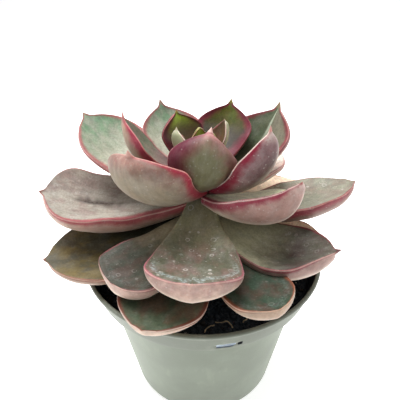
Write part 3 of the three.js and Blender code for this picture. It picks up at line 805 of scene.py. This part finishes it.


def worn_plastic_group():
    """Moulded plastic with faint mottling, dust and water marks."""
    inputs = [("Plastic", COLOUR, None), ("Dust", COLOUR, None), ("Dust amount", NUMBER, 0.3),
              ("Roughness", NUMBER, 0.4), ("Place", PLACE, None)]
    tree, given, out = new_group("Worn plastic", "ShaderNodeTree", inputs, SURFACE)
    m, g = Maker(tree), given.outputs
    cloud = m.noise(g["Place"], 0.06, 4, 0.6)
    fine = m.noise(g["Place"], 1.6, 4, 0.65)
    runs = m.noise(m.stretch(g["Place"], (0.3, 0.3, 0.1)), 1.0, 4, 0.6)
    marks = m.times(m.ramp(runs, 0.5, 0.72), m.ramp(cloud, 0.4, 0.62))
    dust = m.times(m.plus(marks, m.ramp(fine, 0.62, 0.76)), g["Dust amount"], clamp=True)
    colour = m.mix(dust, g["Plastic"], g["Dust"])
    m.fill(out, {"Colour": m.scaled(colour, m.ramp(cloud, 0.35, 0.65, 0.92, 1.05)),
                 "Roughness": m.plus(g["Roughness"], m.times(dust, 0.3)), "Height": fine})
    return tree


def plastic_material(name):
    material, m, shader = new_material(name)
    plastic, dust, amount, roughness = PLASTICS[name]
    worn = m.group("Worn plastic", worn_plastic_group)
    m.fill(worn, {"Plastic": tone(plastic), "Dust": tone(dust), "Dust amount": amount,
                  "Roughness": roughness, "Place": m.place()})
    # Painted sheen: a paler base colour where the pot is seen at a slant.
    painted_rim_sheen = m.ramp(m.facing(0.3), 0.3, 0.95, 1.0, PAINTED_EDGE_SHEEN)
    m.fill(shader, {
        "Base Color": m.scaled(worn.outputs["Colour"], painted_rim_sheen),
        "Roughness": worn.outputs["Roughness"],
        "Normal": m.relief(worn.outputs["Height"], 0.00004),
        "Specular IOR Level": 0.45,
    })
    return material


# ---- soil, bark and wood -------------------------------------------------------------

# Each material's three tones from dark to light, how fine its grain is, and how deep its
# relief, in metres.
EARTHS = {
    "potting soil": ((28, 36, 44), (48, 56, 62), (92, 94, 94), 1.0, 0.0006),
    "woody stem": ((66, 50, 38), (120, 98, 74), (168, 148, 122), 0.8, 0.0003),
    "soil crumbs": ((28, 36, 44), (54, 60, 64), (100, 98, 94), 2.0, 0.0003),
    "bark bits": ((28, 26, 26), (50, 46, 42), (88, 80, 70), 1.6, 0.0003),
    "pale grit": ((92, 92, 88), (130, 128, 122), (176, 174, 166), 1.5, 0.0002),
    "dry roots": ((150, 134, 110), (194, 178, 150), (220, 206, 182), 2.0, 0.0001),
}


def earthy_group():
    """Loose dark earth, bark or woody skin: three tones mixed by coarse and fine noise."""
    inputs = [("Dark", COLOUR, None), ("Middle", COLOUR, None), ("Light", COLOUR, None),
              ("Grain", NUMBER, 1.0), ("Place", PLACE, None)]
    outputs = [("Colour", COLOUR), ("Height", NUMBER)]
    tree, given, out = new_group("Earthy", "ShaderNodeTree", inputs, outputs)
    m, g = Maker(tree), given.outputs
    place = m.scaled(g["Place"], g["Grain"])
    coarse, fine = m.noise(place, 0.35, 5, 0.7), m.noise(place, 2.2, 4, 0.7)
    colour = m.mix(m.ramp(coarse, 0.35, 0.65), g["Dark"], g["Middle"])
    m.fill(out, {"Colour": m.mix(m.ramp(fine, 0.6, 0.75), colour, g["Light"]),
                 "Height": m.plus(coarse, m.times(fine, 0.5))})
    return tree


def earthy_material(name):
    material, m, shader = new_material(name)
    dark, middle, light, grain, depth = EARTHS[name]
    earth = m.group("Earthy", earthy_group)
    m.fill(earth, {"Dark": tone(dark), "Middle": tone(middle), "Light": tone(light), "Grain": grain,
                   "Place": m.place()})
    m.fill(shader, {
        "Base Color": earth.outputs["Colour"],
        "Roughness": 0.9,
        "Specular IOR Level": 0.25,
        "Normal": m.relief(earth.outputs["Height"], depth),
    })
    return material


# ---- pot -----------------------------------------------------------------------------

BODY_TOP = POT_HEIGHT - COLLAR_HEIGHT
BODY_TOP_RADIUS = COLLAR_FOOT_RADIUS - COLLAR_STEP
LEDGE = BODY_TOP + WALL      # inside, where the collar steps out
POT_SIDES = 192
LIP_ROUND = 0.62             # the lip's round outside, and its smaller one inside
LIP_INNER_ROUND = 0.45
COLLAR_ROUND = 0.45          # the collar's lower edge
LIP_BAND = 0.45              # how far the collar's plastic reaches down inside the lip
BODY, INSIDE, COLLAR = 0, 1, 2   # the pot's materials by number, the first three of PLASTICS

# The slot's recesses: plastic, how far right of the slot's middle and above it, width, height, depth. Their
# plastics are painted light: a highlight above, shade below it, and shade in the dark end.
RECESSES = [
    ("pale slot", -1.1, 0.3, 6.0, 1.3, 0.5),
    ("slate blue slot", -1.3, -0.8, 5.4, 0.6, 0.5),
    # the dark end: painted shade, a shallow recess in the dark inside plastic
    ("dark plastic inside", 3.2, 0.0, 1.6, 2.0, 0.8),
]
RECESS_CORNER = 0.3          # a recess's round corners, by the smaller of its sides


def body_radius(height):
    rise = (height - FOOT_ROUND) / (BODY_TOP - FOOT_ROUND)
    return FOOT_RADIUS + (BODY_TOP_RADIUS - FOOT_RADIUS) * rise


def collar_radius(height):
    return COLLAR_FOOT_RADIUS + (RIM_RADIUS - COLLAR_FOOT_RADIUS) * (height - BODY_TOP) / COLLAR_HEIGHT


def arc(centre, radius, first, last, steps):
    """Points of a profile's round corner, its angles in degrees."""
    angles = np.radians(np.linspace(first, last, steps))
    return [(centre[0] + radius * math.cos(a), centre[1] + radius * math.sin(a)) for a in angles]


def pot_outside():
    """The pot's section as (radius, height), from the middle of its foot to the top of its lip."""
    section = [(0, 0), (8, 0), (16, 0)]
    section += arc((FOOT_RADIUS - FOOT_ROUND, FOOT_ROUND), FOOT_ROUND, -90, -14, 10)
    section += [(body_radius(height), height) for height in np.linspace(FOOT_ROUND + 2, BODY_TOP - 0.5, 18)]
    section += [(BODY_TOP_RADIUS + 0.05, BODY_TOP - 0.2), (BODY_TOP_RADIUS + 0.3, BODY_TOP + 0.03)]
    section += [(BODY_TOP_RADIUS + share * COLLAR_STEP, BODY_TOP + 0.2 * share) for share in (0.3, 0.6, 0.85)]
    section += arc((COLLAR_FOOT_RADIUS - COLLAR_ROUND, BODY_TOP + 0.65), COLLAR_ROUND, -80, -15, 5)
    for height in np.linspace(BODY_TOP + 1.2, POT_HEIGHT - 1.7, 9):
        section.append((collar_radius(height) - 0.1, height))
    section += arc((RIM_RADIUS - LIP_ROUND, POT_HEIGHT - 0.75), LIP_ROUND, -35, 90, 9)
    return section


def pot_inside():
    """The section goes on over the lip and down inside to the middle of the floor."""
    section = arc((RIM_RADIUS - WALL + 0.3, POT_HEIGHT - 0.5), LIP_INNER_ROUND, 95, 180, 5)
    for height in (POT_HEIGHT - 3, LEDGE + 2.5, LEDGE + 0.7):
        section.append((collar_radius(height) - WALL, height))
    section += [(COLLAR_FOOT_RADIUS - WALL - 0.1, LEDGE + 0.2), (COLLAR_FOOT_RADIUS - WALL - 0.8, LEDGE)]
    section += [(BODY_TOP_RADIUS - WALL + 0.5, LEDGE), (BODY_TOP_RADIUS - WALL - 0.1, LEDGE - 0.6)]
    for height in np.linspace(BODY_TOP - 2, FOOT_ROUND + FLOOR + 1, 8):
        section.append((body_radius(height) - WALL, height))
    section += [(FOOT_RADIUS - FOOT_ROUND + 1.5, FLOOR + 0.5), (FOOT_RADIUS - FOOT_ROUND, FLOOR), (0, FLOOR)]
    return section


def lathed(name, profile, sides, materials):
    """A closed shape of revolution from (radius, height, material number) points that starts and
    ends on the axis."""
    angles = full_turn(sides)
    inner = profile[1:-1]
    rings = np.array([level_ring(radius, height, angles) for radius, height, _ in inner])
    points, faces = closed_tube(rings, (0, 0, profile[0][1]), (0, 0, profile[-1][1]))
    obj = make_object(name, points, faces, *materials)
    belts = np.repeat([number for _, _, number in inner[1:]], sides)
    ends = np.tile([profile[0][2], profile[-1][2]], sides)
    obj.data.polygons.foreach_set("material_index", np.concatenate([belts, ends]).astype(np.int32))
    return obj


def cut(obj, tools):
    """Cuts the tools out of a piece, which keeps its materials, and takes the tools away."""
    for tool in tools:
        change = obj.modifiers.new("cut", "BOOLEAN")
        change.operation, change.solver, change.object = "DIFFERENCE", "EXACT", tool
        change.material_mode = "TRANSFER"
    mesh = modified_mesh(obj)
    obj.modifiers.clear()
    obj.data = mesh
    for tool in tools:
        bpy.data.objects.remove(tool)


def drain_hole(azimuth, material):
    """A round plug with eased ends, to be cut from the floor of the pot."""
    x, y = DRAIN_RING * math.cos(azimuth), DRAIN_RING * math.sin(azimuth)
    steps = [(DRAIN_RADIUS + 0.5, -1.0), (DRAIN_RADIUS + 0.25, 0.05), (DRAIN_RADIUS, 0.35), (DRAIN_RADIUS, 3)]
    rings = np.array([level_ring(radius, height, full_turn(40), x, y) for radius, height in steps])
    points, faces = closed_tube(rings, (x, y, steps[0][1]), (x, y, steps[-1][1]))
    return make_object("drain hole", points, faces, material)


def slot_axes():
    """The slot's middle on the collar, and the directions out of the wall, right and up it."""
    azimuth = math.radians(SLOT_AZIMUTH)
    lean = (RIM_RADIUS - COLLAR_FOOT_RADIUS) / COLLAR_HEIGHT
    out = np.array([math.cos(azimuth), math.sin(azimuth), -lean])
    out /= np.linalg.norm(out)
    right = np.array([-math.sin(azimuth), math.cos(azimuth), 0])
    height = POT_HEIGHT - SLOT_BELOW_LIP
    face = collar_radius(height)
    middle = np.array([face * math.cos(azimuth), face * math.sin(azimuth), height])
    return middle, out, right, np.cross(out, right)


def recess_tool(material, aside, above, width, tall, depth):
    """A flat bar with round corners, to be pressed square into the collar."""
    middle, out, right, up = slot_axes()
    middle = middle + right * aside + up * above
    corner = RECESS_CORNER * min(width, tall)
    outline = [(width / 2 - corner + x, corner - tall / 2 + y) for x, y in arc((0, 0), corner, -90, 0, 5)]
    outline += [(width / 2 - corner + x, tall / 2 - corner + y) for x, y in arc((0, 0), corner, 0, 90, 5)]
    outline += [(-x, y) for x, y in outline[::-1]]
    rings = []
    for out_by, shrink in ((-depth, 0.9), (-depth + 0.1, 0.97), (1.5, 1.06)):
        rings.append([middle + out * out_by + right * x * shrink + up * y * shrink for x, y in outline])
    rings = np.array(rings)
    points, faces = closed_tube(rings, rings[0].mean(0), rings[-1].mean(0))
    return make_object("recess", points, faces, material)


def make_pot():
    """A pale body with its drain holes, a dark inside, and a collar with its recesses, which carry a painted
    highlight and painted shade.
    """
    plastics = {name: plastic_material(name) for name in PLASTICS}
    first = list(plastics.values())[:COLLAR + 1]
    profile = []
    for radius, height in pot_outside():
        profile.append((radius, height, COLLAR if height > BODY_TOP + 0.1 else BODY))
    for radius, height in pot_inside():
        profile.append((radius, height, COLLAR if height > POT_HEIGHT - LIP_BAND else INSIDE))
    pot = lathed("pot_shell", profile, POT_SIDES, first)
    tools = [drain_hole(2 * math.pi * (i + 0.5) / DRAIN_HOLES, first[BODY]) for i in range(DRAIN_HOLES)]
    tools += [recess_tool(plastics[name], *values) for name, *values in RECESSES]
    cut(pot, tools)
    return pot


# ---- soil and stem -------------------------------------------------------------------

SOIL_EDGE = collar_radius(SOIL_TOP) - WALL - GAP
SOIL_SIDES = 160
STEM_FROM = 36               # how deep the stem goes
STEM_SIDES = 64

# Lumps of the soil, large and small: height, pitch, seed.
LUMPS = [(0.55, 17, 5), (0.3, 6, 6)]
EDGE_DIP = 0.4               # the soil's top drops by this much next to the pot
RIDGE_HEIGHT = 0.22          # the rings of old leaf scars round the stem
RIDGE_RATE = 2.6             # radians of a ridge's wave in a millimetre of height
RAG_HEIGHT = 0.25            # what makes them ragged
RIDGES_END = (96, 88)        # the heights between which they fade out


def soil_height(radius, azimuth):
    """The height of the soil's uneven top."""
    x, y = radius * np.cos(azimuth), radius * np.sin(azimuth)
    crown = SOIL_TOP + (SOIL_CROWN - SOIL_TOP) * (1 - radius / SOIL_EDGE)
    lumps = sum(high * ripples(x, y, seed, pitch) for high, pitch, seed in LUMPS)
    lumps = lumps * smooth_step(SOIL_EDGE, SOIL_EDGE - 5, radius)
    return crown + lumps - EDGE_DIP * smooth_step(SOIL_EDGE - 1.5, SOIL_EDGE, radius)


def soil_rings(first, last, steps, sides):
    """Rings of the soil's top from one radius to another."""
    azimuth = full_turn(sides)
    radii = np.linspace(first, last, steps)
    return [level_ring(r, soil_height(0 * azimuth + r, azimuth), azimuth) for r in radii]


def make_soil():
    """The root ball, which fills the pot's inside and has a lumpy top."""
    side = [(FOOT_RADIUS - FOOT_ROUND - GAP, FLOOR + GAP), (body_radius(6) - WALL - GAP, 6)]
    side += [(body_radius(h) - WALL - GAP, h) for h in (20, 34, 46)]
    side += [(BODY_TOP_RADIUS - WALL - GAP, LEDGE + 0.1), (BODY_TOP_RADIUS - WALL, LEDGE + GAP)]
    side += [(SOIL_EDGE - 1.2, LEDGE + GAP), (SOIL_EDGE - 0.2, LEDGE + GAP + 0.1)]
    rings = [level_ring(radius, height, full_turn(SOIL_SIDES)) for radius, height in side]
    rings = np.array(rings + soil_rings(SOIL_EDGE, 3.0, 46, SOIL_SIDES))
    points, faces = closed_tube(rings, (0, 0, FLOOR + GAP), rings[-1].mean(0))
    return make_object("soil_bed", points, faces, earthy_material("potting soil"))


def make_stem():
    """The woody neck, ringed by old leaf scars."""
    angles = full_turn(STEM_SIDES)
    rings = []
    for height in np.linspace(STEM_FROM, STEM_TOP - 1, 120):
        ridge = RIDGE_HEIGHT * np.sin(height * RIDGE_RATE + 2 * np.sin(angles * 2 + height * 0.3))
        rag = RAG_HEIGHT * ripples(angles * 8, 0 * angles + height, 31, 7)
        radius = stem_radius(height) + (ridge + rag) * float(smooth_step(*RIDGES_END, np.array(height)))
        rings.append(level_ring(radius, height, angles))
    points, faces = closed_tube(np.array(rings), (0, 0, STEM_FROM), (0, 0, STEM_TOP))
    return make_object("stem_neck", points, faces, earthy_material("woody stem"))


# ---- what lies on the soil -----------------------------------------------------------

# Piece, material, then the values of the crumb tree's inputs.
CRUMB_INPUTS = ("Crumbs per square metre", "Smallest", "Largest", "Flatness", "Seed")
CRUMBS = [
    ("soil_crumbs", "soil crumbs", 7.5e5, 0.0003, 0.0011, 0.75, 3),
    ("bark_bits", "bark bits", 5.5e4, 0.0005, 0.0019, 0.35, 8),
    ("pale_grit", "pale grit", 2.6e4, 0.0002, 0.0006, 0.8, 14),
]

# Each dry root end: its start's azimuth and radius, its length and its direction.
ROOTS = [(-83, 30.6, 7, -16), (-84, 32, 4.5, 205), (-68, 33, 3, 30), (-52, 30, 6, 100), (-25, 32, 8, 130),
         (-140, 33, 8, 20), (30, 31, 9, 80), (80, 30, 10, 170), (125, 32, 8, 10), (170, 30, 9, -70)]
ROOT_STEPS = 14
ROOT_RADIUS = 0.00022        # in metres, as the geometry trees take it
ROOT_SEED = 200
ROOT_LIES = 0.25             # how high its ends lie over the soil
ROOT_ARCH = 0.5              # how much higher its middle is
ROOT_WANDERS = 0.28          # how much its direction changes at a step, in radians


def crumb_tree():
    """Scatters small uneven crumbs over a surface, half sunk in it."""
    inputs = [("Ground", SHAPE, None), ("Crumbs per square metre", NUMBER, 1e6),
              ("Smallest", NUMBER, 0.0004), ("Largest", NUMBER, 0.0012), ("Flatness", NUMBER, 0.6),
              ("Seed", WHOLE, 1), ("Material", FINISH, None)]
    tree, given, out = new_group("Crumbs", "GeometryNodeTree", inputs, [("Crumbs", SHAPE)])
    m, g = Maker(tree), given.outputs
    spread = m.add("GeometryNodeDistributePointsOnFaces",
                   {"Mesh": g["Ground"], "Density": g["Crumbs per square metre"], "Seed": g["Seed"]})
    crumb = m.add("GeometryNodeMeshIcoSphere", {"Radius": 1.0, "Subdivisions": 1})
    size = m.add("FunctionNodeRandomValue", {2: g["Smallest"], 3: g["Largest"], "Seed": g["Seed"]}).outputs[1]
    shape = m.add("ShaderNodeCombineXYZ", {"X": size, "Y": size, "Z": m.times(size, g["Flatness"])})
    turn = m.add("FunctionNodeRandomValue", {0: (-0.5, -0.5, 0), 1: (0.5, 0.5, 6.28), "Seed": g["Seed"]},
                 data_type="FLOAT_VECTOR")
    laid = m.add("GeometryNodeInstanceOnPoints",
                 {"Points": spread.outputs["Points"], "Instance": crumb.outputs["Mesh"],
                  "Rotation": turn.outputs[0], "Scale": shape.outputs[0]})
    real = m.add("GeometryNodeRealizeInstances", {0: laid.outputs[0]})
    rough = m.add("ShaderNodeTexNoise", {"Scale": 900.0}).outputs["Color"]
    centred = m.add("ShaderNodeVectorMath", {0: rough, 1: (0.5, 0.5, 0.5)}, operation="SUBTRACT")
    move = m.add("GeometryNodeSetPosition",
                 {"Geometry": real.outputs[0], "Offset": m.scaled(centred.outputs[0], g["Largest"])})
    paint = m.add("GeometryNodeSetMaterial", {"Geometry": move.outputs[0], "Material": g["Material"]})
    m.fill(out, {0: paint.outputs[0]})
    return tree


def fibre_tree():
    """A thin round thread along each path."""
    inputs = [("Paths", SHAPE, None), ("Radius", NUMBER, 0.0002), ("Material", FINISH, None)]
    tree, given, out = new_group("Fibres", "GeometryNodeTree", inputs, [("Fibres", SHAPE)])
    m, g = Maker(tree), given.outputs
    section = m.add("GeometryNodeCurvePrimitiveCircle", {"Resolution": 6, "Radius": g["Radius"]})
    sweep = m.add("GeometryNodeCurveToMesh",
                  {"Curve": g["Paths"], "Profile Curve": section.outputs["Curve"], "Fill Caps": True})
    real = m.add("GeometryNodeRealizeInstances", {0: sweep.outputs[0]})
    paint = m.add("GeometryNodeSetMaterial", {"Geometry": real.outputs[0], "Material": g["Material"]})
    m.fill(out, {0: paint.outputs[0]})
    return tree


def grow(name, base, tree, values):
    """Runs a geometry tree on a base object and keeps the result as a plain mesh."""
    change = base.modifiers.new("grow", "NODES")
    change.node_group = tree
    for item in tree.interface.items_tree:
        if item.in_out == "INPUT" and item.name in values:
            change[item.identifier] = values[item.name]
    mesh = modified_mesh(base)
    bpy.data.objects.remove(base)
    mesh.name = name
    return add_object(name, mesh)


def open_ground():
    """The soil's top as a thin surface to scatter on, clear of the wall and the stem."""
    rings = np.array(soil_rings(SOIL_EDGE - 1.4, 7.6, 30, 96))
    return make_object("ground", rings.reshape(-1, 3), tube_faces(*rings.shape[:2]))


def root_path(number, azimuth, radius, length, heading):
    """Points of a dry root end, which wanders over the soil and arches up in its middle."""
    rng = np.random.default_rng(ROOT_SEED + number)
    azimuth, heading = math.radians(azimuth), math.radians(heading)
    x, y = radius * math.cos(azimuth), radius * math.sin(azimuth)
    path, step = [], length / ROOT_STEPS
    for i in range(ROOT_STEPS):
        away = min(math.hypot(x, y), SOIL_EDGE - 1.5)
        ground = float(soil_height(np.array(away), np.array(math.atan2(y, x))))
        path.append((x, y, ground + ROOT_LIES + ROOT_ARCH * math.sin(i / ROOT_STEPS * math.pi)))
        heading += rng.normal(0, ROOT_WANDERS)
        x, y = x + step * math.cos(heading), y + step * math.sin(heading)
    return np.array(path) * MM


def root_curves():
    """The dry root ends as curves, to be given their thickness."""
    curve = bpy.data.curves.new("roots", "CURVE")
    curve.dimensions = "3D"
    for number, root in enumerate(ROOTS):
        path = root_path(number, *root)
        line = curve.splines.new("POLY")
        line.points.add(len(path) - 1)
        line.points.foreach_set("co", np.c_[path, np.ones(len(path))].ravel())
    return add_object("roots", curve)


def make_litter():
    """Crumbs, grit and dry root ends on the soil."""
    crumbs, fibres = crumb_tree(), fibre_tree()
    made = []
    for name, material, *sizes in CRUMBS:
        values = dict(zip(CRUMB_INPUTS, sizes), Material=earthy_material(material))
        made.append(grow(name, open_ground(), crumbs, values))
    values = {"Radius": ROOT_RADIUS, "Material": earthy_material("dry roots")}
    made.append(grow("dry_roots", root_curves(), fibres, values))
    return made


# ---- light, floor and camera ---------------------------------------------------------

TABLE_HALF = 3000
TABLE_GLOW = 0.6
SEEN = 1.0                   # strength of the white behind the plant
AROUND = 0.45                # strength of the light from all sides
WHITE = (1, 1, 1, 1)

# Each softbox's place, size and power, in metres and watts. All of them aim at LIT_SPOT.
LIT_SPOT = (0, 0, 0.07)
SOFTBOXES = {
    "overhead softbox": ((-0.15, 0.2, 0.75), 0.6, 8.0),
    "left softbox": ((-0.7, -0.1, 0.35), 0.5, 1.2),
    "right softbox": ((0.7, 0.0, 0.35), 0.5, 1.2),
}

CAMERA_AT = (0.0, -0.1202, 0.1473)   # in metres
LOOKS_DOWN = 30.0            # the camera's angles, in degrees
YAW = -0.46
ROLL = -0.53
LENS = 36                    # as wide as the sensor, so that the view is 53 degrees wide


def make_table():
    """A white table, which is only a stage for the plant."""
    corners = [(x * TABLE_HALF, y * TABLE_HALF, 0) for x, y in ((-1, -1), (1, -1), (1, 1), (-1, 1))]
    material, m, shader = new_material("white table")
    m.fill(shader, {"Base Color": (0.9, 0.9, 0.9, 1), "Roughness": 0.8,
                    "Emission Color": WHITE, "Emission Strength": TABLE_GLOW})
    make_object("table", corners, [(0, 1, 2, 3)], material)


def make_world():
    """White all round: dimmer as a light than as it is seen."""
    world = bpy.data.worlds.new("studio")
    world.use_nodes = True
    m, nodes = Maker(world.node_tree), world.node_tree.nodes
    seen, lit = nodes["Background"], nodes.new("ShaderNodeBackground")
    m.fill(seen, {"Color": WHITE, "Strength": SEEN})
    m.fill(lit, {"Color": WHITE, "Strength": AROUND})
    path = m.add("ShaderNodeLightPath", {})
    pick = m.add("ShaderNodeMixShader",
                 {"Fac": path.outputs["Is Camera Ray"], 1: lit.outputs[0], 2: seen.outputs[0]})
    m.fill(nodes["World Output"], {"Surface": pick.outputs[0]})
    bpy.context.scene.world = world


def make_lights():
    """Soft light from above and from both sides."""
    for name, (place, size, power) in SOFTBOXES.items():
        data = bpy.data.lights.new(name, "AREA")
        data.shape, data.size, data.energy = "DISK", size, power
        aim = np.array(LIT_SPOT) - np.array(place)
        tilt = math.atan2(math.hypot(aim[0], aim[1]), -aim[2])
        obj = add_object(name, data)
        obj.location = place
        obj.rotation_euler = (tilt, 0, math.atan2(aim[1], aim[0]) - math.pi / 2)


def make_camera():
    """A camera at the photograph's place and angle."""
    data = bpy.data.cameras.new("camera")
    data.lens, data.sensor_width, data.clip_start = LENS, LENS, 0.01
    obj = add_object("camera", data)
    down, yaw, roll = (math.radians(v) for v in (LOOKS_DOWN, YAW, ROLL))
    ahead = np.array([math.sin(yaw) * math.cos(down), math.cos(yaw) * math.cos(down), -math.sin(down)])
    right = np.cross(ahead, (0, 0, 1))
    right /= np.linalg.norm(right)
    up = np.cross(right, ahead)
    right, up = (math.cos(roll) * right + math.sin(roll) * up, math.cos(roll) * up - math.sin(roll) * right)
    rows = [[*row, at] for row, at in zip(np.stack([right, up, -ahead], 1).tolist(), CAMERA_AT)]
    obj.matrix_world = [list(c) for c in zip(*rows, (0, 0, 0, 1))]
    bpy.context.scene.camera = obj


# ---- the whole plant -----------------------------------------------------------------

finished = [(make_pot(), "pot", "pot"), (make_soil(), "soil", "soil"), (make_stem(), "stem", "stem")]
finished += make_leaves()
finished += [(litter, None, "soil") for litter in make_litter()]
for piece, node, slot in finished:
    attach(piece, "root")
    if node:
        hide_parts(node)

make_table()
make_world()
make_lights()
make_camera()
bpy.context.scene.view_settings.view_transform = "Standard"
